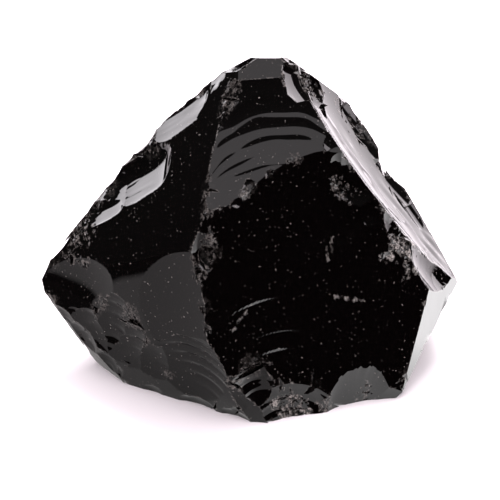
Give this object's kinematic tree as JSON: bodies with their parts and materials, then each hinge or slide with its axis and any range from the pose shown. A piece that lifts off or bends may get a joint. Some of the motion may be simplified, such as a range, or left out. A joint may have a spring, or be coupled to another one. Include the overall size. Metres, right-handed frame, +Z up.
{
  "type": "obsidian chunk",
  "caption": "Hand-sized raw chunk of black volcanic glass with smooth shell-like fracture faces, sharp ridges and a flat underside to rest on.",
  "frame": {"origin": "centre of the footprint box, on the plane the chunk rests on", "axes": "+Z up, +X along the length towards the right end, -Y towards the viewer of the largest face, the breast"},
  "size_m": [0.0854, 0.056, 0.0658],
  "materials": {
    "volcanic_glass": "fresh glassy fracture, black and mirror-smooth"
  },
  "bodies": {
    "root": {"obsidian_chunk": "volcanic_glass"}
  },
  "joints": []
}
